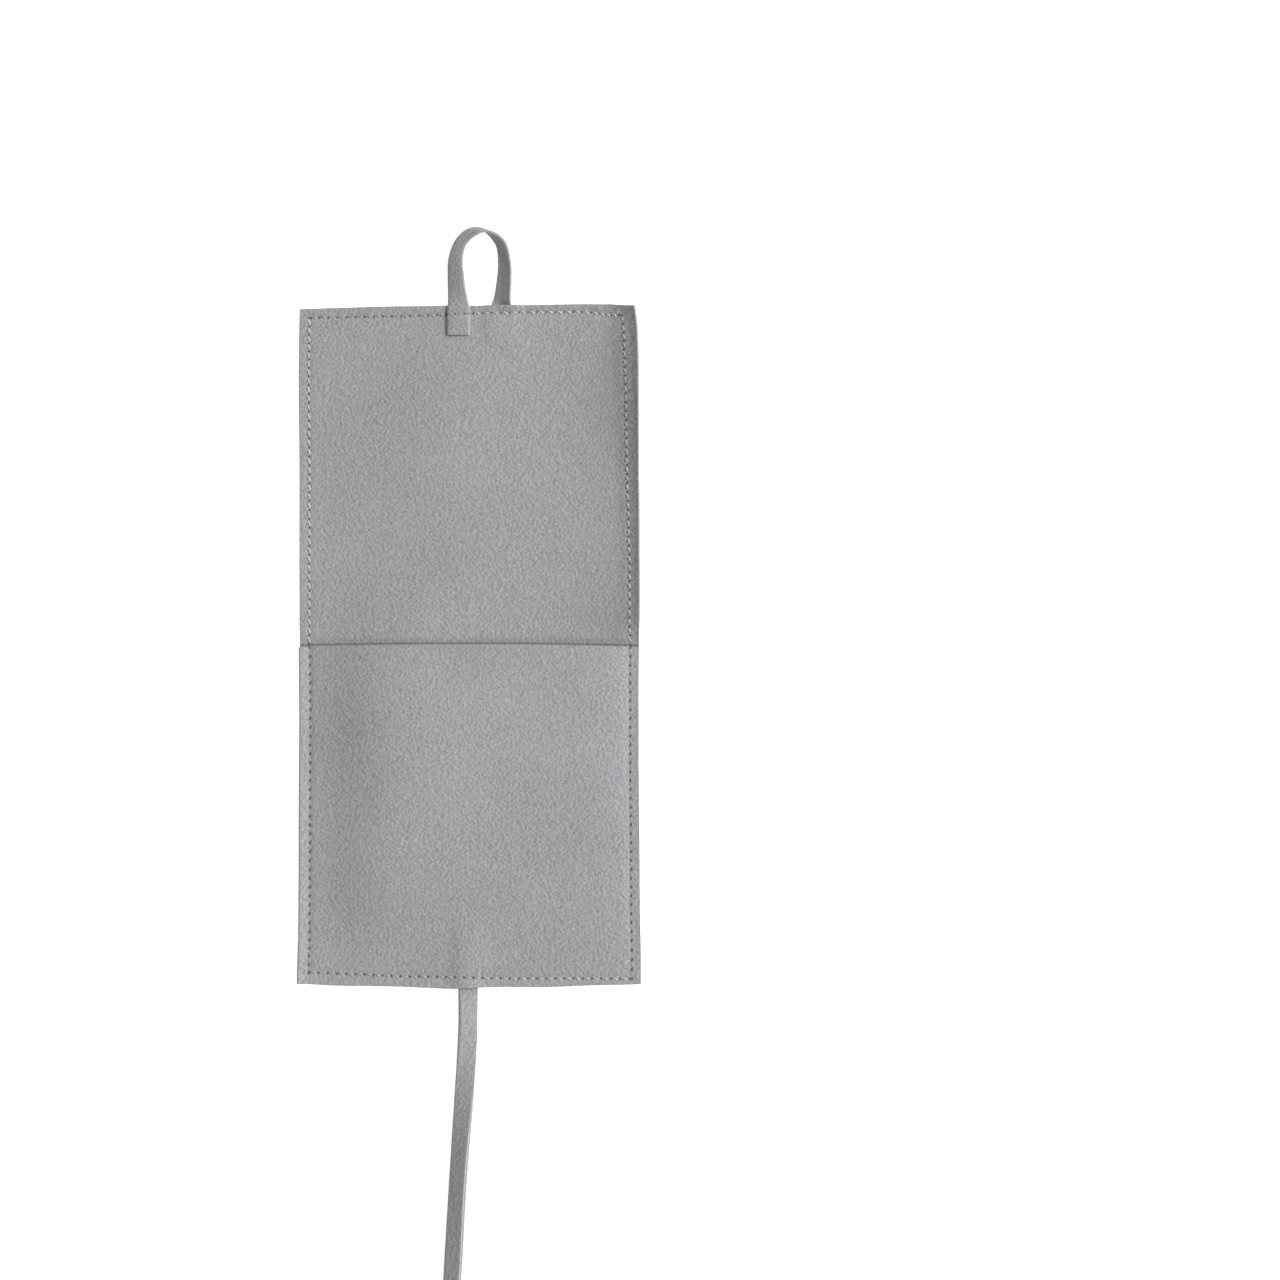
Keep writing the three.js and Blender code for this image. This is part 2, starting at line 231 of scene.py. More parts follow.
def makeNeedleGroup():
    inputs = [(label, "NodeSocketFloat", value) for label, value in needleSet["inputs"].items()]
    group, take, give = newGroup("needleRow", inputs, [("Mask", "NodeSocketFloat")])

    def times(a, b):
        return calc(group, "MULTIPLY", a, b)

    turn = calc(group, "DIVIDE", calc(group, "SUBTRACT", take["Along"], take["Start"]), take["Step"])
    part = calc(group, "SUBTRACT", calc(group, "FRACT", calc(group, "ADD", turn, 0.5)), 0.5)
    off = times(part, take["Step"])
    sine, cosine = calc(group, "SINE", take["Lean"]), calc(group, "COSINE", take["Lean"])
    wide = calc(group, "SUBTRACT", times(take["Across"], cosine), times(off, sine))
    long = calc(group, "ADD", times(take["Across"], sine), times(off, cosine))
    long = calc(group, "DIVIDE", long, take["Stretch"])
    reach = calc(group, "SQRT", calc(group, "ADD", times(wide, wide), times(long, long)))
    share = calc(group, "DIVIDE", reach, take["Radius"])
    hole = remap(group, share, 1.0, needleSet["core"], way="SMOOTHSTEP")
    first = calc(group, "SUBTRACT", take["Start"], needleSet["overrun"])
    last = calc(group, "ADD", take["End"], needleSet["overrun"])
    after = calc(group, "GREATER_THAN", take["Along"], first)
    before = calc(group, "LESS_THAN", take["Along"], last)
    group.links.new(times(hole, times(after, before)), give["Mask"])
    return group


napGroup = makeNapGroup()
needleGroup = makeNeedleGroup()

pouch = {
    "half": span("pocket_back_shell", 0)[1],
    "bottom": span("pocket_back_shell", 1)[0],
    "fold": frame["joints"][0]["pos_m"][1] / mm,
    "foldReach": 4.0,  # cloth on each side of the fold that bends with it
    "edge": span("flap_shell", 1)[1],
    "mouth": span("pocket_front", 1)[1],
    "seamX": middle("pocket_seam_right", 0),
    "seamTop": middle("flap_seam_top", 1),
    "seamBottom": middle("pocket_seam_bottom", 1),
    "stitch": 2.65,
    "ply": 0.98,
    "frontPly": 0.94,
    "edgeRound": 0.26,
}


def seamRow(node, axis):
    low, high = span(node, axis)
    count = round((high - low) / pouch["stitch"])
    return {"start": low, "end": high, "count": count, "step": (high - low) / count}


seams = {
    "flapSide": seamRow("flap_seam_left", 1),
    "flapTop": seamRow("flap_seam_top", 0),
    "pocketSide": seamRow("pocket_seam_left", 1),
    "pocketBottom": seamRow("pocket_seam_bottom", 0),
}

suede = {
    "tone": (0.236, 0.237, 0.247, 1),
    # a little lighter than tone: painted light on the pocket front, standing in for the light its crown
    # catches
    "frontTone": (0.2375, 0.2385, 0.2485, 1),
    "strapTone": (0.229, 0.23, 0.238, 1),
    "fleck": 0.49,
    "patch": 0.2,
    "bump": 0.35,
    "bumpDepth": 0.12,
    "specular": 0.15,
    "sheen": 0.12,
    "sheenRoughness": 0.5,
    # painted shade inside the needle holes
    "holeShade": (0.04, 0.04, 0.045, 1),
    "holeShare": 0.82,
    "holeDepth": 2.0,  # in heights of the nap
    # cut edge: paler, with short fibres across the ply
    "edgeTone": (0.32, 0.321, 0.328),
    "edgeScale": 3.2,
    "edgeGain": (0.72, 1.22),
    "edgeRoughness": (0.98, 0.88),
    "fuzzRange": (0.3, 0.7),
}

# spun thread: two plies twisted round each other
thread = {
    "tone": (0.36, 0.363, 0.371),
    "twist": 1.4,
    "twistSway": 0.6,
    "twistGain": (0.78, 1.0),
    "fuzzScale": 1.1,
    "fuzzGain": (-0.08, 0.08),
    "roughness": (0.75, 0.55),
    "bump": 0.5,
    "bumpDepth": 0.08,
    "specular": 0.3,
    "sheen": 0.1,
    "sheenRoughness": 0.5,
}


def newMaterial(name):
    material = bpy.data.materials.new(name)
    material.use_nodes = True
    return material, material.node_tree


def shadeCloth(tree, look, color, height, roughness):
    feeds = {"Height": height, "Strength": look["bump"], "Distance": look["bumpDepth"] * mm}
    feed(tree, tree.nodes["Principled BSDF"], {
        "Base Color": color,
        "Roughness": roughness,
        "Normal": put(tree, "ShaderNodeBump", feeds).outputs[0],
        "Specular IOR Level": look["specular"],
        "Sheen Weight": look["sheen"],
        "Sheen Roughness": look["sheenRoughness"],
    })


def placeInMm(tree):
    place = put(tree, "ShaderNodeTexCoord").outputs["Object"]
    return vectorCalc(tree, "SCALE", place, 1 / mm)


def holeRow(seam, axis, line, radius, stretch, lean, both=False, shift=0.0):
    return {"seam": seam, "axis": axis, "line": line, "radius": radius, "stretch": stretch, "lean": lean,
            "both": both, "shift": shift}


def holeMask(tree, flat, rows):
    mask = 0.0
    for row in rows:
        seam, off = seams[row["seam"]], flat[row["axis"]]
        if row["both"]:  # the same seam left and right
            across = calc(tree, "SUBTRACT", calc(tree, "ABSOLUTE", off), row["line"])
            across = calc(tree, "MULTIPLY", across, calc(tree, "SIGN", off))
        else:
            across = calc(tree, "SUBTRACT", off, row["line"])
        feeds = {"Across": across, "Along": calc(tree, "ADD", flat[1 - row["axis"]], row["shift"]),
                 "Start": seam["start"], "End": seam["end"], "Step": seam["step"], "Radius": row["radius"],
                 "Stretch": row["stretch"], "Lean": math.radians(row["lean"])}
        hole = put(tree, "ShaderNodeGroup", feeds, node_tree=needleGroup).outputs[0]
        mask = calc(tree, "MAXIMUM", mask, hole)
    return mask


# suede whose needle holes lie on the given seams; crease marks a fold: on the lining a dark line of painted
# shade in its crease by the pocket's mouth, on the shell a pale worn line; rim is a painted highlight along a
# strap's right cut edge, the side that faces the key light
def suedeMaterial(name, tone, seed, rows=(), crease=None, rim=None):
    material, tree = newMaterial(name)
    cloth = put(tree, "ShaderNodeUVMap", uv_map="cloth").outputs[0]
    flat = put(tree, "ShaderNodeSeparateXYZ", {0: cloth}).outputs
    napAt = cloth
    if crease:
        zone = (crease["y"] - pouch["foldReach"], crease["y"] + pouch["foldReach"])
        slack = remap(tree, flat[1], *zone, -crease["slack"], crease["slack"])
        along = calc(tree, "ADD", flat[1], slack)
        napAt = put(tree, "ShaderNodeCombineXYZ", {0: flat[0], 1: along}).outputs[0]
    feeds = {"Cloth": napAt, "Seed": seed, "Tone": tone, "Fleck": suede["fleck"], "Patch": suede["patch"]}
    nap = put(tree, "ShaderNodeGroup", feeds, node_tree=napGroup).outputs
    color, height = nap["Color"], nap["Height"]
    if crease:
        out = calc(tree, "POWER", calc(tree, "DIVIDE", flat[0], pouch["half"]), 2.0)
        line = calc(tree, "SUBTRACT", crease["y"], calc(tree, "MULTIPLY", out, crease["bow"]))
        off = calc(tree, "ABSOLUTE", calc(tree, "SUBTRACT", flat[1], line))
        # a dark crease tone paints shade into the crease, a pale one paints wear
        creaseShadeAndWear = remap(tree, off, crease["width"], 0.0, 0, crease["share"], "SMOOTHSTEP")
        color = tint(tree, creaseShadeAndWear, color, crease["tone"])
    if rim:
        # painted highlight on the strap's right cut edge, the side that faces the key light
        paintedLight = remap(tree, flat[0], *rim["across"], 0, rim["share"], "SMOOTHSTEP")
        paintedLight = calc(tree, "MULTIPLY", paintedLight, remap(tree, flat[1], *rim["until"], 1, 0, "SMOOTHSTEP"))
        color = tint(tree, paintedLight, color, rim["tone"])
    if rows:
        # painted shade darkens the cloth inside the needle holes
        mask = holeMask(tree, flat, rows)
        color = tint(tree, calc(tree, "MULTIPLY", mask, suede["holeShare"]), color, suede["holeShade"])
        height = calc(tree, "SUBTRACT", height, calc(tree, "MULTIPLY", mask, suede["holeDepth"]))
    shadeCloth(tree, suede, color, height, nap["Roughness"])
    return material


def cutEdgeMaterial():
    material, tree = newMaterial("cutSuedeEdge")
    fuzz = noiseAt(tree, placeInMm(tree), suede["edgeScale"], 3.0, 0.7).outputs[0]
    gain = remap(tree, fuzz, *suede["fuzzRange"], *suede["edgeGain"])
    color = vectorCalc(tree, "SCALE", suede["edgeTone"], gain)
    shadeCloth(tree, suede, color, fuzz, remap(tree, fuzz, 0, 1, *suede["edgeRoughness"]))
    return material


def threadMaterial():
    material, tree = newMaterial("spunThread")
    place = placeInMm(tree)
    feeds = {"Vector": place, "Scale": thread["twist"], "Distortion": thread["twistSway"], "Detail": 1.0}
    twist = put(tree, "ShaderNodeTexWave", feeds, bands_direction="DIAGONAL").outputs[1]
    fuzz = noiseAt(tree, place, thread["fuzzScale"]).outputs[0]
    fuzz = remap(tree, fuzz, *suede["fuzzRange"], *thread["fuzzGain"])
    gain = calc(tree, "ADD", remap(tree, twist, 0, 1, *thread["twistGain"]), fuzz)
    # per-vertex painted light and shade of each seam's thread, times a random spread of tone
    paintedLight = put(tree, "ShaderNodeAttribute", attribute_name="shade").outputs["Fac"]
    color = vectorCalc(tree, "SCALE", thread["tone"], calc(tree, "MULTIPLY", gain, paintedLight))
    shadeCloth(tree, thread, color, twist, remap(tree, twist, 0, 1, *thread["roughness"]))
    return material


# radius, stretch along the seam and lean of the needle holes
holeShape = {
    "flapSide": (0.4, 1.3, 40),
    "flapTop": (0.44, 1.25, 45),
    "pocketSide": (0.5, 1.8, 14),
    "pocketBottom": (0.52, 1.1, 30),
}
flapHoles = [
    holeRow("flapSide", 0, pouch["seamX"], *holeShape["flapSide"], both=True),
    holeRow("flapTop", 1, pouch["seamTop"], *holeShape["flapTop"]),
]
pocketHoles = [
    holeRow("pocketSide", 0, pouch["seamX"], *holeShape["pocketSide"], both=True),
    holeRow("pocketBottom", 1, pouch["seamBottom"], *holeShape["pocketBottom"]),
]
# slack is the nap taken up on each side of the fold, so that it isn't drawn out when the pouch is shut
# the lining's dark crease line is painted shade by the pocket's mouth; the shell's pale one is wear on the
# fold's outside
liningCreaseShade = {"y": 50.55, "bow": 0.65, "width": 0.7, "share": 0.62, "slack": 0.0,
                "tone": (0.05, 0.05, 0.055, 1)}
shellCrease = {"y": 50.0, "bow": 0.0, "width": 2.2, "share": 0.25, "slack": 4.0,
               "tone": (0.3, 0.3, 0.308, 1)}
napSeed = {"shell": 3.3, "lining": 61.3, "front": 118.3, "tie": 211.3, "loop": 307.3}

backHoles = flapHoles + pocketHoles
shellSuede = suedeMaterial("shellSuede", suede["tone"], napSeed["shell"], backHoles, shellCrease)
liningSuede = suedeMaterial("liningSuede", suede["tone"], napSeed["lining"], backHoles, liningCreaseShade)
frontSuede = suedeMaterial("frontSuede", suede["frontTone"], napSeed["front"], pocketHoles)
tieSuede = suedeMaterial("tieSuede", suede["strapTone"], napSeed["tie"])
cutSuede = cutEdgeMaterial()
threadSpun = threadMaterial()
print("materials ready")


def newPiece(name, bm, *materials):
    mesh = bpy.data.meshes.new(name)
    bm.to_mesh(mesh)
    bm.free()
    for material in materials:
        mesh.materials.append(material)
    piece = bpy.data.objects.new(name, mesh)
    bpy.context.scene.collection.objects.link(piece)
    return piece


# a cloth as a grid, with its ply from a modifier; place gives each vertex's spot, its place on the flat cloth
# and its share of the thickness
def clothGrid(name, columns, rows, place, thickness, edgeRound, faceMaterial):
    bm = bmesh.new()
    bmesh.ops.create_grid(bm, x_segments=columns, y_segments=rows, size=1)
    bm.verts.index_update()
    flatMap = bm.loops.layers.uv.new("cloth")
    plump = bm.verts.layers.deform.verify()
    flat = {}
    for vert in bm.verts:
        column, row = round((vert.co.x + 1) / 2 * columns), round((vert.co.y + 1) / 2 * rows)
        spot, flat[vert.index], vert[plump][0] = place(column, row)
        vert.co = Vector(spot) * mm
    for face in bm.faces:
        face.smooth = True
        for corner in face.loops:
            corner[flatMap].uv = flat[corner.vert.index]
    piece = newPiece(name, bm, faceMaterial, cutSuede)
    piece.vertex_groups.new(name="plump")
    wall = piece.modifiers.new("ply", "SOLIDIFY")
    wall.thickness = thickness * mm
    wall.offset = 0
    wall.vertex_group = "plump"
    wall.material_offset_rim = 1
    rounding = piece.modifiers.new("softEdge", "BEVEL")
    rounding.width = edgeRound * mm
    rounding.segments = 2
    rounding.profile = 0.5
    rounding.material = -1
    rounding.limit_method = "ANGLE"
    rounding.angle_limit = math.radians(50)
    print(name, len(piece.data.polygons), "faces before its thickness")
    return piece


# a smooth curve through route points of x, y, z, roll and share of the width, resampled at even steps
def smoothRoute(points, spacing):
    points = [tuple(map(float, p)) for p in points]
    first = tuple(2 * a - b for a, b in zip(points[0], points[1]))
    last = tuple(2 * a - b for a, b in zip(points[-1], points[-2]))
    chain = [first, *points, last]
    steps = 24  # between two points
    fine = []
    for a, b, c, d in zip(chain, chain[1:], chain[2:], chain[3:]):
        ab, bc, cd = (max(1e-3, math.dist(p[:3], q[:3])) ** 0.5 for p, q in ((a, b), (b, c), (c, d)))
        for i in range(steps):
            t = i / steps
            spot = []
            for pa, pb, pc, pd in zip(a, b, c, d):
                inSlope = ((pb - pa) / ab - (pc - pa) / (ab + bc) + (pc - pb) / bc) * bc
                outSlope = ((pc - pb) / bc - (pd - pb) / (bc + cd) + (pd - pc) / cd) * bc
                spot.append((2 * t**3 - 3 * t**2 + 1) * pb + (t**3 - 2 * t**2 + t) * inSlope
                            + (3 * t**2 - 2 * t**3) * pc + (t**3 - t**2) * outSlope)
            fine.append(spot)
    fine.append(list(points[-1]))
    gone = [0.0]
    for p, q in zip(fine, fine[1:]):
        gone.append(gone[-1] + math.dist(p[:3], q[:3]))
    count = max(2, round(gone[-1] / spacing))
    route, k = [], 0
    for i in range(count + 1):
        want = gone[-1] * i / count
        while k < len(gone) - 2 and gone[k + 1] < want:
            k += 1
        t = (want - gone[k]) / max(1e-9, gone[k + 1] - gone[k])
        route.append([mix(p, q, t) for p, q in zip(fine[k], fine[k + 1])])
    return route, gone[-1]


# straps are ribbons swept along a route; their edges drop where they dome, and a slant cuts the far end
strap = {"across": 8, "edgeRound": 0.33, "domeFrom": 0.6, "slantRows": 14}


def ribbon(name, route, length, band, faceMaterial, press=None):
    rows = len(route) - 1
    up = Vector((0, 0, 1))

    def place(column, row):
        out = 2 * column / strap["across"] - 1  # from -1 at the left edge to 1 at the right
        along = length * row / rows
        here = Vector(route[row][:3])
        roll, share = math.radians(route[row][3]), route[row][4]
        ahead = (Vector(route[min(rows, row + 1)][:3]) - Vector(route[max(0, row - 1)][:3])).normalized()
        flatSide = ahead.cross(up).normalized()
        face = flatSide.cross(ahead)
        sideWay = flatSide * math.cos(roll) - face * math.sin(roll)
        faceWay = face * math.cos(roll) + flatSide * math.sin(roll)
        side = out * band["width"] / 2
        drop = band["dome"] * max(0.0, abs(out) - strap["domeFrom"]) / (1 - strap["domeFrom"])
        trim = band["slant"] * (out + 1) / 2 * fade(row, rows - strap["slantRows"], rows)
        spot = here + sideWay * side * share - ahead * trim - faceWay * drop
        return spot, (side, along - trim), press(along) if press else 1.0

    return clothGrid(name, strap["across"], rows, place, band["thickness"], strap["edgeRound"], faceMaterial)


# tie: one ribbon folded in half, its fold sewn in at the pocket's bottom, its two tails lying on each other
tie = {
    "width": 5.7,
    "thickness": 0.8,
    "dome": 0,
    "slant": 3.0,
    "step": 0.9,  # from one tail to the other
    "x": -0.3,
    "tableGap": 0.1,
    "free": 220,
    "curlRadius": 21.5,
    "curlSteps": 16,
    "spacing": 0.9,
    "exit": 0.4,  # inside the bottom edge, where the tails start
    "foldSteps": 8,
    "foldSpacing": 0.4,
    "route": [  # across, below the bottom edge, share of the exit's height, tilt
        (0, -0.4, 1, -6), (-0.1, 5, 0.72, -21), (-0.2, 11, 0.26, -25), (-0.4, 18, 0, -17), (-1.15, 34, 0, 12),
        (-1.97, 47, 0, 29), (-2.7, 58, 0, 33), (-3.3, 68, 0, 33), (-4.3, 85, 0, 30), (-4.9, 95, 0, 45),
        (-5.3, 105, 0, 66), (-5.6, 115, 0, 90),
    ],
}


def tieTail(name, part, layer):
    base = span("tie_sewn_fold", 2)[0]
    points = []
    for across, below, share, tilt in tie["route"]:
        angle = math.radians(tilt)
        tall = tie["thickness"] * math.cos(angle) + tie["width"] * abs(math.sin(angle))
        rest = tie["tableGap"] + tall / 2
        points.append((
            tie["x"] + across - layer * tie["step"] * math.sin(angle),
            pouch["bottom"] - below,
            rest + share * (base - tie["tableGap"]) + layer * tie["step"] * math.cos(angle),
            tilt,
            1,
        ))
    tailLength = smoothRoute(points, tie["spacing"])[1]
    x, y, z = points[-1][:3]
    radius = tie["curlRadius"] + (layer - 0.5) * tie["step"]
    turn = (tie["free"] - tailLength) / radius
    for i in range(1, tie["curlSteps"] + 1):  # past the camera's view the tail stands on edge and curls round
        angle = turn * i / tie["curlSteps"]
        points.append((x + radius * (1 - math.cos(angle)), y - radius * math.sin(angle), z, 90, 1))
    route, length = smoothRoute(points, tie["spacing"])
    piece = ribbon(name, route, length, tie, tieSuede)
    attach(piece, "pocket")
    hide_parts(part + "_tail", part + "_curl")
    [Vector(p[:3]) * mm for p in route[::3] + [route[-1]]]
    print(name, "is", round(length, 1), "mm long")


tieTail("tieLower", "tie_lower", 0)
tieTail("tieUpper", "tie_upper", 1)


# the tie's fold inside the pocket
def tieFold():
    start, inside = pouch["bottom"] + tie["exit"], span("tie_sewn_fold", 1)[1] - tie["thickness"] / 2
    low = span("tie_sewn_fold", 2)[0] + tie["thickness"] / 2
    high, radius = low + tie["step"], tie["step"] / 2
    halfWay = mix(start, inside, 0.5)
    points = [(tie["x"], start, low), (tie["x"], halfWay, low)]
    for i in range(tie["foldSteps"] + 1):
        angle = math.pi * i / tie["foldSteps"]
        y, z = inside - radius * (1 - math.sin(angle)), low + radius * (1 - math.cos(angle))
        points.append((tie["x"], y, z))
    points += [(tie["x"], halfWay, high), (tie["x"], start, high)]
    route, length = smoothRoute(points, tie["foldSpacing"])
    rows = len(route) - 1

    def place(column, row):
        side = (2 * column / strap["across"] - 1) * tie["width"] / 2
        return Vector(route[row]) + Vector((side, 0, 0)), (side, length * row / rows), 1.0

    piece = clothGrid("tieFold", strap["across"], rows, place, tie["thickness"], pouch["edgeRound"], tieSuede)
    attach(piece, "pocket")
    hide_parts("tie_sewn_fold")


tieFold()
print("tie ready")

# how the cut edges and the seams stray from straight, in mm: place along them and shift
cut = {
    "left": [(-50, -0.45), (-44, -0.35), (-36, -0.08), (-20, 0.08), (-5, 0.1), (25, 0.24), (43, 0.2),
             (60, -0.02), (105, -0.04), (118, -0.18), (131, -0.25), (141, -0.12), (150, 0.05)],
    "right": [(-50, 0.75), (-38, 0.68), (-28, 0.46), (-8, 0.33), (10, 0.12), (24, 0.06), (44, 0.1), (62, 0.4),
              (82, 0.33), (105, 0.15), (128, 0.1), (139, -0.06), (145, -0.35), (150, -1.0)],
    "sideFade": 5,  # power by which a side's shift fades towards the middle
    "top": [(-50, -0.9), (-43, -0.66), (-33, -0.35), (-23, -0.11), (-10, -0.03), (0, 0.07), (15, 0.28),
            (25, 0.5), (35, 0.6), (40, 0.55), (45, 0.5), (50, -0.1)],
    "topRun": 25,
    "bottom": [(-50, 0.2), (-45, -0.05), (-38, -0.42), (-30, -0.52), (-22, -0.6), (-13, -0.95), (-7, -1.22),
               (-2, -1.1), (4, -0.75), (12, -0.68), (22, -0.78), (29, -0.58), (36, -0.3), (44, -0.15),
               (50, 0)],
    "bottomRun": 16,
    "seamRight": [(45, 0), (50, -0.05), (54, -0.34), (62, -0.45), (75, -0.5), (90, -0.88), (105, -1.25),
                  (120, -1.5), (135, -1.9), (150, -2.2)],
    "seamRightAt": 46.2,
    "seamRightReach": (9, 4.2),  # inwards and outwards
    "seamLeft": 0.27,
    "seamLeftReach": 2.5,
    "seamLeftRun": 6,
    "seamTop": [(-47, -1.35), (-40, -1.25), (-30, -1.0), (-20, -0.88), (-10, -0.6), (0, -0.1), (10, 0.15),
                (20, 0.4), (30, 0.45), (36, 0.25), (40, -0.25), (47, -0.7)],
    "seamBottom": [(-47, 1.1), (-40, 0.9), (-30, 0.4), (-20, -0.1), (-10, -0.25), (0, -0.4), (10, -0.7),
                   (20, -0.8), (30, -0.8), (47, -1.0)],
    "wander": 0.06,  # of each ply from the others
    "wanderSize": 17,
}


def cutEdge(x, y, seed):
    bottom, edge = pouch["bottom"], pouch["edge"]
    dx = through(cut["right"] if x > 0 else cut["left"], y)
    dx += cut["wander"] * noise.noise(Vector((y / cut["wanderSize"], seed, math.copysign(3, x))))
    past = x - cut["seamRightAt"]
    inner, outer = cut["seamRightReach"]
    seam = through(cut["seamRight"], y) * bell(past / (outer if past > 0 else inner))
    onFlap = fade(y, pouch["fold"], pouch["fold"] + cut["seamLeftRun"])
    seam += cut["seamLeft"] * bell((x + pouch["seamX"]) / cut["seamLeftReach"]) * onFlap
    up = fade(y, edge - cut["topRun"], edge)
    down = fade(y, bottom + cut["bottomRun"], bottom)
    overTop, overBottom = fade(y, pouch["seamTop"], edge), fade(y, pouch["seamBottom"], bottom)
    dy = up * mix(through(cut["seamTop"], x), through(cut["top"], x), overTop)
    dy += down * mix(through(cut["seamBottom"], x), through(cut["bottom"], x), overBottom)
    dy += cut["wander"] * noise.noise(Vector((x / cut["wanderSize"], seed + 9, 0))) * (up - down)
    return x + dx * abs(x / pouch["half"]) ** cut["sideFade"] + seam, y + dy


# how the back and the flap lie: waves, swells and curling margins, in mm; a run is counted from the fold
drape = {
    "wave": 0.28,
    "waveSize": 40,
    "waveMean": 0.5,
    "waveGain": 0.7,
    "waveOnPocket": 0.15,  # share that the pocket's back has
    "waveRun": (3, 21),
    "flapTilt": [  # along, rise of the flap's right side
        (50, 3.4), (60, 3.8), (70, 3.0), (82, 2.1), (98, 1.6), (110, 2.4), (122, 3.6), (138, 3.2), (150, 1.2),
    ],
    "flapTiltFrom": 22,
    "flapTiltPower": 2,
    "flapCurl": [  # along, rise of its right margin
        (50, 0.8), (64, 1.5), (80, 2.1), (110, 2.7), (138, 3.0), (150, 3.6),
    ],
    "flapCurlFrom": 43,
    "flapCurlPower": 2.5,
    "flapRiseRun": (-2, 12),
    "topRise": 0.35,
    "flapSwell": [  # across, height of the flap
        (-50, 0.3), (-42, 0.3), (-30, 0.8), (-15, 1.8), (-3, 2.2), (10, 1.6), (22, 0.7), (32, 0.15), (38, 0),
        (50, 0),
    ],
    "flapSwellRun": (6, 30),
    "flapSink": 0.35,  # share of the swell lost towards the flap's edge
    "flapSinkRun": (45, 70),
    "foldSwell": [  # across, height at the fold
        (-50, 0), (-44, 0.1), (-38, 0.5), (-30, 1.5), (-22, 2.4), (-15, 2.8), (-8, 2.5), (0, 1.9), (8, 1.2),
        (16, 0.6), (24, 0.2), (30, 0), (50, 0),
    ],
    "foldSwellAt": 3,
    "foldSwellReach": 26,
    "valley": 0.3,  # the lining's crease at the fold
    "valleyAt": 0.8,
    "valleyReach": 1.6,
    "backCurl": 0.9,  # outer edge of the left margin under the pocket front
    "backCurlRun": (-3, -15),
    "marginPower": 1.3,
    "shellTrim": 0.998,  # the shell is cut a little narrower
    "shellSetback": 0.1,  # and shorter at the flap's edge
    "setbackRun": 2,
    "shellRise": 0.06,
    "liningRise": 0.04,
}


def leftMargin(x):  # from 0 at the left seam to 1 at the cut edge
    return max(0.0, (-x - pouch["seamX"]) / (pouch["half"] - pouch["seamX"])) ** drape["marginPower"]


def rightShare(x, start):  # from 0 at start to 1 at the right edge
    return max(0.0, x - start) / (pouch["half"] - start)


def backLift(x, y):  # both plies of the back and the flap
    past = y - pouch["fold"]
    spot = Vector((x / drape["waveSize"], y / drape["waveSize"] + 3.1, 4.2))
    wave = max(0.0, drape["waveMean"] + drape["waveGain"] * noise.noise(spot))
    lift = drape["wave"] * wave * mix(drape["waveOnPocket"], 1, fade(past, *drape["waveRun"]))
    rise = through(drape["flapTilt"], y) * rightShare(x, drape["flapTiltFrom"]) ** drape["flapTiltPower"]
    rise += through(drape["flapCurl"], y) * rightShare(x, drape["flapCurlFrom"]) ** drape["flapCurlPower"]
    lift += rise * fade(past, *drape["flapRiseRun"])
    lift += drape["topRise"] * fade(y, pouch["seamTop"], pouch["edge"])
    sunk = 1 - drape["flapSink"] * fade(past, *drape["flapSinkRun"])
    lift += through(drape["flapSwell"], x) * fade(past, *drape["flapSwellRun"]) * sunk
    lift += through(drape["foldSwell"], x) * bell((past - drape["foldSwellAt"]) / drape["foldSwellReach"])
    lift += drape["backCurl"] * leftMargin(x) * fade(past, *drape["backCurlRun"])
    return lift


# the lining over the loop's tucked end, and the opening that the loop comes out of
tuck = {
    "height": 0.5,
    "halfWidth": 3,
    "reach": (3.5, 5),  # past its sides and past its end
    "mouthHeight": 0.9,
    "mouthAside": 2.5,
    "mouthReach": 5,
    "mouthRun": 3.5,
}


def tuckLift(x, y):
    aside = x - middle("loop_tucked_end", 0)
    past = max(0.0, abs(aside) - tuck["halfWidth"])
    down = max(0.0, span("loop_tucked_end", 1)[0] - y)
    opening = bell((aside - tuck["mouthAside"]) / tuck["mouthReach"])
    opening *= fade(y, pouch["edge"] - tuck["mouthRun"], pouch["edge"])
    over = bell(math.hypot(past / tuck["reach"][0], down / tuck["reach"][1]))
    return tuck["height"] * over + tuck["mouthHeight"] * opening


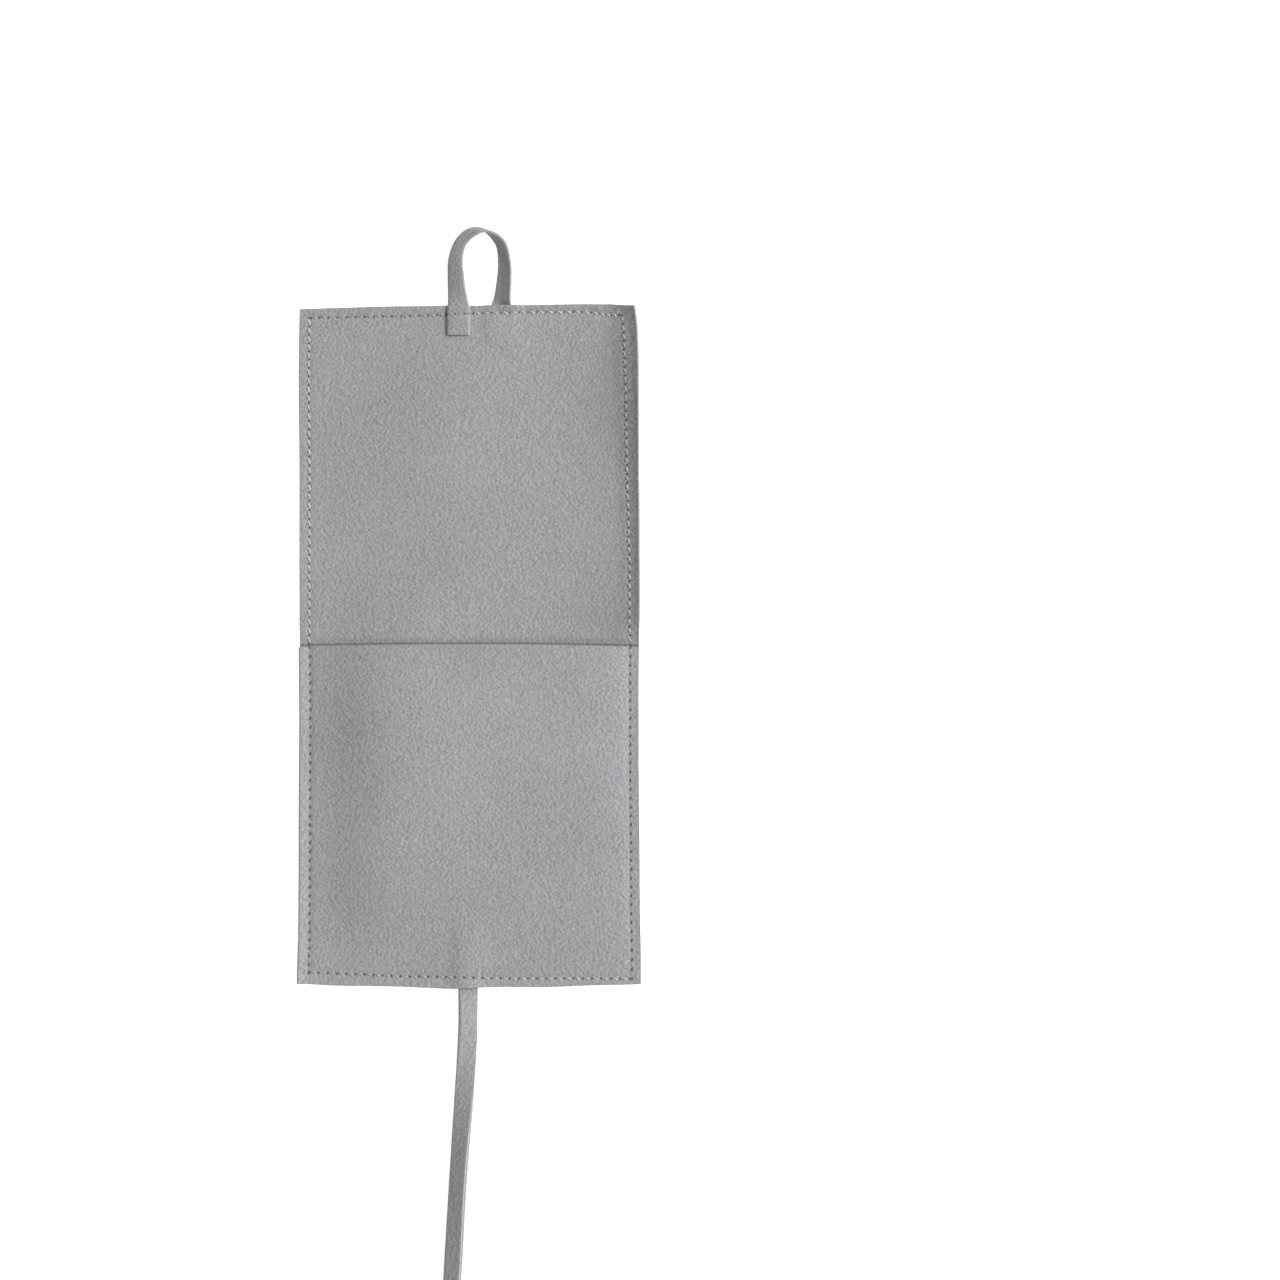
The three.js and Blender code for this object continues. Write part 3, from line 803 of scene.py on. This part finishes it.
# how the pocket front lies, in mm
frontSet = {
    "crown": [  # across, height
        (-46.8, 0), (-44, 0.25), (-40, 0.9), (-36, 1.9), (-32, 2.95), (-28, 3.8), (-24, 4.35), (-20, 4.5),
        (-14, 4.4), (-6, 4.0), (2, 3.55), (10, 3.15), (18, 2.8), (26, 2.55), (34, 2.3), (39, 1.95),
        (43, 1.35), (45.5, 0.75), (46.8, 0),
    ],
    "lowCrown": [  # the same in its lower half
        (-46.8, 0), (-44, 0.3), (-40, 1.0), (-36, 2.0), (-32, 3.0), (-28, 3.8), (-24, 4.35), (-20, 4.6),
        (-14, 4.6), (-6, 4.3), (2, 3.85), (10, 3.3), (18, 2.8), (26, 2.4), (32, 2.2), (38, 1.9), (43, 1.25),
        (45.5, 0.7), (46.8, 0),
    ],
    "crownTurn": (-12, 14),  # along, from the low crown to the other
    "crownStart": 0.8,  # above the bottom seam
    "crownRun": 54,
    "mouthDip": (0.38, 0.05),  # share that the mouth sinks, left and right
    "dipTurn": (-10, 10),
    "dipRun": 20,
    "tunnel": [  # across, rise over the tie's fold
        (-30, 0), (-22, 0.3), (-14, 0.8), (-8, 1.2), (-5.2, 1.5), (-3.4, 1.95), (-2, 2.1), (0, 2.05),
        (2, 1.9), (4.5, 1.5), (7.5, 1.15), (12, 0.95), (20, 0.75), (30, 0.5), (40, 0.2), (46.8, 0),
    ],
    "tunnelPast": 0.6,  # beyond the tie's fold
    "tunnelRun": 14,
    "wave": 0.22,
    "waveSize": (31, 34),
    "waveFrom": 9,  # inside the seams
    "curl": 1.85,  # outer edge of the left margin
    "lip": 0.65,  # bottom edge over the tie
    "lipReach": 5,
    "lipRun": 2.4,
    "rightRise": (-0.14, 0.04),  # outer edge of the right margin, above and below
    "rightTurn": (-25, -45),
    "leftPull": 0.35,  # of the left seam to the right
    "leftPullReach": 2.5,
    "mouthBow": 0.65,
    "mouthSetback": 0.1,
    "mouthRun": (20, 50),
}


def tunnelLift(x, y):
    past = max(0.0, y - span("tie_sewn_fold", 1)[1] - frontSet["tunnelPast"])
    return through(frontSet["tunnel"], x) * bell(past / frontSet["tunnelRun"])


def crownLift(x, y):
    along = min(1.0, max(0.0, (y - pouch["seamBottom"] - frontSet["crownStart"]) / frontSet["crownRun"]))
    dip = mix(*frontSet["mouthDip"], fade(x, *frontSet["dipTurn"]))
    dip *= fade(y, pouch["mouth"] - frontSet["dipRun"], pouch["mouth"])
    low, high = through(frontSet["lowCrown"], x), through(frontSet["crown"], x)
    height = mix(low, high, fade(y, *frontSet["crownTurn"]))
    return max(0.0, height) * (1 - (1 - along) ** 2) * (1 - dip)


def frontLift(x, y):
    lift = math.hypot(crownLift(x, y), tunnelLift(x, y))
    inside = ease((pouch["seamX"] - abs(x)) / frontSet["waveFrom"])
    inside *= ease((y - pouch["seamBottom"]) / frontSet["waveFrom"])
    spot = Vector((x / frontSet["waveSize"][0], y / frontSet["waveSize"][1], 8.8))
    lift += frontSet["wave"] * inside * noise.noise(spot)
    lift += frontSet["curl"] * leftMargin(x)
    overTie = bell((x - tie["x"]) / frontSet["lipReach"])
    lift += frontSet["lip"] * overTie * fade(y, pouch["bottom"] + frontSet["lipRun"], pouch["bottom"])
    rightRise = mix(*frontSet["rightRise"], fade(y, *frontSet["rightTurn"]))
    return lift + rightRise * fade(x, pouch["seamX"], pouch["half"])


# plies pressed thin along the seams, most of all at the needle holes
seamPress = {
    "front": (0.4, 0.58),  # between the holes and at them
    "back": (0.26, 0.42),
    "inner": 1.0,  # reach towards the pouch's middle
    "outer": 2.0,  # and towards its edge
    "rightOuter": 5.0,  # the right margin stays flat
    "overrun": 1.2,  # past the seam's ends
}


def pressed(distance, along, row, onFront, outer=seamPress["outer"]):
    if along < row["start"] - seamPress["overrun"] or along > row["end"] + seamPress["overrun"]:
        return 0.0
    hole = 0.5 + 0.5 * math.cos(2 * math.pi * (along - row["start"]) / row["step"])
    reach = seamPress["inner"] if distance > 0 else outer
    return bell(distance / reach) * mix(*seamPress["front" if onFront else "back"], hole)


def plumpAt(x, y, onFront=False):
    side = pouch["seamX"] - abs(x)
    outer = seamPress["rightOuter" if x > 0 else "outer"]
    presses = [
        pressed(side, y, seams["pocketSide"], onFront, outer),
        pressed(y - pouch["seamBottom"], x, seams["pocketBottom"], onFront),
    ]
    if not onFront:
        presses += [
            pressed(side, y, seams["flapSide"], onFront, outer),
            pressed(y - pouch["seamTop"], x, seams["flapTop"], onFront),
        ]
    return 1 - max(presses)


def shellSpot(x, y):
    px, py = cutEdge(x * drape["shellTrim"], y, 1.0)
    setback = drape["shellSetback"] * fade(y, pouch["edge"] - drape["setbackRun"], pouch["edge"])
    return px, py - setback, middle("pocket_back_shell", 2) + drape["shellRise"] + backLift(x, y)


def liningSpot(x, y):
    px, py = cutEdge(x, y, 2.0)
    valley = drape["valley"] * bell((y - pouch["fold"] - drape["valleyAt"]) / drape["valleyReach"])
    rise = drape["liningRise"] + backLift(x, y) + tuckLift(x, y) - valley
    return px, py, middle("pocket_back_lining", 2) + rise


def frontSpot(x, y):
    px, py = cutEdge(x, y, 3.0)
    px += frontSet["leftPull"] * bell((x + pouch["seamX"]) / frontSet["leftPullReach"])
    bow = frontSet["mouthBow"] * (1 - (x / pouch["half"]) ** 2) - frontSet["mouthSetback"]
    py += bow * fade(y, *frontSet["mouthRun"])
    return px, py, span("pocket_front", 2)[0] + pouch["frontPly"] / 2 + frontLift(x, y)


# columns and rows follow the stitches, and crowd at the seams and the fold
gridSet = {
    "perStitch": 3,
    "sideColumns": (-0.1, 0.35, 0.75, 1.2, 1.8),  # outwards from a side seam
    "lastColumn": 0.25,  # inside the cut edge
    "bottomRows": (0, 0.3, 0.8, 1.3),  # above the bottom edge
    "seamRows": (0.75, 0.35),  # below the bottom seam
    "topRows": (0.16, 0.34, 0.52, 0.7, 0.88, 1),  # shares of the top margin
    "foldReach": 5.2,
    "foldRows": 26,
    "foldClear": 0.4,  # least step from there to the flap's stitches
}


def stitchSteps(row):
    count = gridSet["perStitch"] * row["count"]
    return [mix(row["start"], row["end"], i / count) for i in range(count + 1)]


def sheetColumns():
    right = [pouch["seamX"] + step for step in gridSet["sideColumns"]]
    right += [pouch["half"] - gridSet["lastColumn"], pouch["half"]]
    return [-x for x in reversed(right)] + stitchSteps(seams["flapTop"]) + right


def bottomRows():
    rows = [pouch["bottom"] + step for step in gridSet["bottomRows"]]
    return rows + [pouch["seamBottom"] - step for step in gridSet["seamRows"]]


def backRows():
    below, above = pouch["fold"] - gridSet["foldReach"], pouch["fold"] + gridSet["foldReach"]
    rows = bottomRows() + [y for y in stitchSteps(seams["pocketSide"]) if y < below]
    last, count = rows[-1], gridSet["foldRows"]
    rows += [mix(last, above, i / count) for i in range(1, count + 1)]
    rows += [y for y in stitchSteps(seams["flapSide"]) if y > above + gridSet["foldClear"]]
    return rows + [mix(pouch["seamTop"], pouch["edge"], share) for share in gridSet["topRows"]]


def clothSheet(name, xs, ys, spot, thickness, faceMaterial, onFront=False):
    def place(column, row):
        x, y = xs[column], ys[row]
        return spot(x, y), (x, y), plumpAt(x, y, onFront)

    return clothGrid(name, len(xs) - 1, len(ys) - 1, place, thickness, pouch["edgeRound"], faceMaterial)


columns = sheetColumns()
foldStart = Vector((0, pouch["fold"] - pouch["foldReach"], 0)) * mm
foldEnd = Vector((0, pouch["fold"] + pouch["foldReach"], 0)) * mm

shell = clothSheet("shellCloth", columns, backRows(), shellSpot, pouch["ply"], shellSuede)
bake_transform(shell, "pocket", "flap", foldStart, foldEnd)
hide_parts("pocket_back_shell", "flap_shell")

lining = clothSheet("liningCloth", columns, backRows(), liningSpot, pouch["ply"], liningSuede)
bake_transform(lining, "pocket", "flap", foldStart, foldEnd)
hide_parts("pocket_back_lining", "flap_lining")

frontRows = bottomRows() + stitchSteps(seams["pocketSide"]) + [pouch["mouth"]]
front = clothSheet("pocketFront", columns, frontRows, frontSpot, pouch["frontPly"], frontSuede, onFront=True)
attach(front, "pocket")
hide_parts("pocket_front")
print("cloth ready")


# loop: one strap, flat on the flap at its left end, turned over once and tucked between the plies at the right
loop = {
    "width": 6.7,
    "thickness": 0.86,
    "dome": 0.3,  # drop of its edges
    "slant": 0,
    "spacing": 0.6,
    "tabX": middle("loop_front_tab", 0),
    "tabEnd": span("loop_front_tab", 1)[0],
    "tabZ": middle("loop_front_tab", 2),
    "tabRise": 0.05,
    "tabRoll": 2,
    "tabShares": (0, 0.3, 0.6, 0.85),  # of the way to the flap's edge
    "tuckX": middle("loop_tucked_end", 0),
    "tuckEnd": span("loop_tucked_end", 1)[0],
    "tuckZ": 1.16,
    "tuckRoll": -180,
    "tuckShares": (0.4, 0.7, 1),  # of the way from the flap's edge
    "liftRun": 8,  # past the edge, where the loop leaves the flap's own lift
    "bendRun": 3,  # past the edge, where it bends
    # rim: painted highlight along the strap's right cut edge, which faces the key light, fading out over
    # rimEnd
    "rim": {"across": (2.6, 3.1), "share": 0.75, "tone": (0.34, 0.341, 0.348, 1)},
    "rimEnd": (0.62, 0.72),  # shares of the length
    "seamPress": 0.28,
    "seamPressReach": 1.6,
    "tuckPress": 0.2,
    "tuckPressRun": (9, 7),  # before the tucked end
    "arch": [  # x, above the flap's edge, z, roll, share of the width
        (-3.15, 0.7, 2.6, -6, 0.92), (-3.64, 4.5, 2.3, -21, 0.85), (-3.97, 9, 2.05, -25, 0.8),
        (-4.0, 14, 1.9, -22, 0.69), (-2.38, 18.9, 2.05, -20, 0.56), (0.9, 21.9, 2.4, -42, 0.6),
        (4.6, 22.4, 2.5, -84, 0.67), (9.25, 18.9, 2.25, -124, 0.7), (10.6, 13, 2.1, -138, 0.75),
        (10.52, 8, 2.0, -142, 0.81), (10.12, 3.4, 1.9, -141, 0.92), (9.88, 1.3, 1.75, -144, 0.98),
        (9.75, -0.3, 1.3, -168, 0.95),
    ],
}


def loopStrap():
    edge = pouch["edge"]
    tabZ = loop["tabZ"] + loop["tabRise"]
    tabYs = [mix(loop["tabEnd"], edge, share) for share in loop["tabShares"]]
    tuckYs = [mix(edge, loop["tuckEnd"], share) for share in loop["tuckShares"]]
    points = [(loop["tabX"], y, tabZ, loop["tabRoll"], 1) for y in tabYs]
    points += [(x, edge + y, z, roll, share) for x, y, z, roll, share in loop["arch"]]
    points += [(loop["tuckX"], y, loop["tuckZ"], loop["tuckRoll"], 1) for y in tuckYs]
    route, length = smoothRoute(points, loop["spacing"])
    for spot in route:
        spot[2] += backLift(spot[0], min(spot[1], edge)) * fade(spot[1], edge + loop["liftRun"], edge)
    seamAt = pouch["seamTop"] + through(cut["seamTop"], loop["tabX"]) - loop["tabEnd"]
    holes = [holeRow("flapTop", 1, seamAt, *holeShape["flapTop"], shift=loop["tabX"])]
    rim = dict(loop["rim"], until=[share * length for share in loop["rimEnd"]])
    loopSuede = suedeMaterial("loopSuede", suede["strapTone"], napSeed["loop"], holes, rim=rim)
    tuckFrom, tuckTo = (length - before for before in loop["tuckPressRun"])

    def press(along):
        sewn = loop["seamPress"] * bell((along - seamAt) / loop["seamPressReach"])
        return 1 - sewn - loop["tuckPress"] * fade(along, tuckFrom, tuckTo)

    piece = ribbon("loopStrap", route, length, loop, loopSuede, press)
    bendEnd = edge + loop["bendRun"]
    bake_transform(piece, "flap", "loop", Vector((0, edge, 0)) * mm, Vector((0, bendEnd, 0)) * mm)
    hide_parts("loop_front_tab", "loop_arch", "loop_tucked_end")
    print("loop strap is", round(length, 1), "mm long")


loopStrap()


# stitches: short arcs of thread from hole to hole, above and below the plies
stitch = {
    "thread": 0.26,  # radius
    "sides": 6,
    "steps": 6,
    "dive": 0.34,
    "jitter": 0.05,
    "slantSway": 4,
    "stretch": (0.94, 1.04),
    "toneSpread": (0.92, 1.08),
    # gap left open at the needle holes, crest of the thread's middle over the cloth, slant to the seam, and
    # painted light and shade of the one thread, lit differently on each seam, before and after its turn along
    # the seam
    "left": {"gap": 0.9, "crest": 0.14, "slant": 19, "shade": (1.4, 1.4), "turn": (95, 130)},
    "right": {"gap": 1.25, "crest": 0.12, "slant": 20, "shade": (1.15, 0.95), "turn": (95, 130)},
    "top": {"gap": 1.5, "crest": 0.1, "slant": -30, "shade": (0.85, 1.35), "turn": (-12, 12)},
    "pocket": {"gap": 1.3, "crest": -0.04, "slant": 14, "shade": (0.7, 0.7), "turn": (-12, 12)},
    "bottom": {"gap": 1.4, "crest": 0.06, "slant": -26, "shade": (0.95, 1.3), "turn": (0, 16)},
    "back": {"gap": 0.8, "crest": -0.12, "slant": 5, "shade": (1.1, 1.1), "turn": (-12, 12)},
    "tabShade": 0.75,  # where the top seam crosses the tab
    "tabRun": 1.2,
    "tabRise": 0.34,
}


def overTab(x):  # from 0 beside the loop's tab to 1 on it
    past = abs(x - loop["tabX"]) - loop["width"] / 2
    return ease(1 - max(0.0, past) / stitch["tabRun"])


def stitchTemplate(length, crest):
    rise = crest + stitch["dive"]
    bow = (length * length / 4 + rise * rise) / (2 * rise)
    half = math.asin(min(1.0, length / 2 / bow))
    sides, steps = stitch["sides"], stitch["steps"]
    spots = []
    for i in range(steps + 1):  # rings across the seam, from the arc's start to its end
        angle = half * (2 * i / steps - 1)
        for k in range(sides):
            turn = 2 * math.pi * k / sides
            y, out = -stitch["thread"] * math.sin(turn), bow + stitch["thread"] * math.cos(turn)
            spots.append(Vector((out * math.sin(angle), y, out * math.cos(angle) + crest - bow)) * mm)
    faces = [range(sides)[::-1], range(sides * steps, len(spots))]
    for a in range(sides * steps):
        b = a + 1 if (a + 1) % sides else a + 1 - sides
        faces.append((a, b, b + sides, a + sides))
    mesh = bpy.data.meshes.new("stitchArc")
    mesh.from_pydata(spots, [], faces)
    return mesh


# joins one arc for each stitch of a seam; surface gives the cloth's top, or its underside for the back
def sewSeam(bm, row, kind, surface):
    look = stitch[kind]
    template = stitchTemplate(row["step"] - look["gap"], look["crest"])
    facing = -1 if kind == "back" else 1
    tones = bm.verts.layers.float["shade"]
    for i in range(row["count"]):
        start, end = (row["start"] + row["step"] * (i + k) for k in (0, 1))
        halfWay = (start + end) / 2
        a, mid, b = (Vector(surface(along)) for along in (start, halfWay, end))
        way = (b - a).normalized()
        side = Vector((0, 0, facing)).cross(way).normalized()
        up = way.cross(side)
        slant = math.radians(look["slant"] + rng.uniform(-stitch["slantSway"], stitch["slantSway"])) * facing
        centre = (a + b + mid * 2) / 4 + side * rng.uniform(-1, 1) * stitch["jitter"]
        stretch = rng.uniform(*stitch["stretch"])
        # painted light and shade of the thread on this seam, times a random spread of tone
        shade = mix(*look["shade"], fade(halfWay, *look["turn"]))
        if kind == "top":
            shade = mix(shade, stitch["tabShade"], overTab(halfWay))
        tone = shade * rng.uniform(*stitch["toneSpread"])
        sine, cosine = math.sin(slant), math.cos(slant)
        before = len(bm.verts)
        bm.from_mesh(template)
        bm.verts.ensure_lookup_table()
        for vert in bm.verts[before:]:
            x, y, z = vert.co / mm
            ahead, aside = x * stretch * cosine - y * sine, x * sine + y * cosine
            vert.co = (centre + way * ahead + side * aside + up * z) * mm
            vert[tones] = tone
    bpy.data.meshes.remove(template)


def sewPiece(name, body, sewn, nodes):
    bm = bmesh.new()
    bm.verts.layers.float.new("shade")
    for row, kind, surface in sewn:
        sewSeam(bm, seams[row], kind, surface)
    for face in bm.faces:
        face.smooth = True
    piece = newPiece(name, bm, threadSpun)
    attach(piece, body)
    if nodes:
        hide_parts(*nodes)
    print(name, len(piece.data.polygons), "faces")


def topOfLining(x, y):
    px, py, pz = liningSpot(x, y)
    return px, py, pz + pouch["ply"] / 2 * plumpAt(x, y)


def topOfTab(x, y):
    px, py, pz = topOfLining(x, y)
    return px, py, mix(pz, loop["tabZ"] + backLift(x, y) + stitch["tabRise"], overTab(x))


def topOfFront(x, y):
    px, py, pz = frontSpot(x, y)
    return px, py, pz + pouch["frontPly"] / 2 * plumpAt(x, y, onFront=True)


def underShell(x, y):
    px, py, pz = shellSpot(x, y)
    return px, py, pz - pouch["ply"] / 2 * plumpAt(x, y)


seamX = pouch["seamX"]
sewPiece("flapStitches", "flap", [
    ("flapSide", "left", lambda y: topOfLining(-seamX, y)),
    ("flapSide", "right", lambda y: topOfLining(seamX, y)),
    ("flapTop", "top", lambda x: topOfTab(x, pouch["seamTop"])),
], ["flap_seam_left", "flap_seam_right", "flap_seam_top"])
sewPiece("pocketStitches", "pocket", [
    ("pocketSide", "pocket", lambda y: topOfFront(-seamX, y)),
    ("pocketSide", "pocket", lambda y: topOfFront(seamX, y)),
    ("pocketBottom", "bottom", lambda x: topOfFront(x, pouch["seamBottom"])),
], ["pocket_seam_left", "pocket_seam_right", "pocket_seam_bottom"])
for body, end in (("flap", "Top"), ("pocket", "Bottom")):
    sewPiece(body + "BackStitches", body, [
        (body + "Side", "back", lambda y: underShell(-seamX, y)),
        (body + "Side", "back", lambda y: underShell(seamX, y)),
        (body + end, "back", lambda x: underShell(x, pouch["seam" + end])),
    ], [])
print("stitches ready")


# table, light and background
studio = {
    "tableSize": 20,
    "tableGap": 0.06,  # under the part
    "table": {
        "Base Color": (0.93, 0.93, 0.93, 1),
        "Roughness": 0.9,
        "Specular IOR Level": 0.1,
        "Emission Color": (1, 1, 1, 1),
        "Emission Strength": 0.62,  # lit from below
    },
    "sky": {"Color": (1, 1, 1, 1), "Strength": 0.577},
    "key": {"at": (4230, 1310, 4090), "aim": (30, 50, 0), "size": 3.0, "power": 490},
}

bm = bmesh.new()
bmesh.ops.create_grid(bm, x_segments=4, y_segments=4, size=studio["tableSize"])
bmesh.ops.translate(bm, verts=bm.verts[:], vec=(0, 0, -studio["tableGap"] * mm))
tablePaint, tableTree = newMaterial("paleTable")
feed(tableTree, tableTree.nodes["Principled BSDF"], studio["table"])
table = newPiece("table", bm, tablePaint)

key = studio["key"]
keyData = bpy.data.lights.new("softKey", "AREA")
keyData.shape = "DISK"
keyData.size = key["size"]
keyData.energy = key["power"]
keyLight = bpy.data.objects.new("softKey", keyData)
keyLight.location = Vector(key["at"]) * mm
keyLight.rotation_euler = (Vector(key["aim"]) - Vector(key["at"])).to_track_quat("-Z", "Y").to_euler()
bpy.context.scene.collection.objects.link(keyLight)

world = bpy.data.worlds.new("whiteRoom")
world.use_nodes = True
feed(world.node_tree, world.node_tree.nodes["Background"], studio["sky"])
bpy.context.scene.world = world
bpy.context.scene.view_settings.view_transform = "Standard"
print("light ready")
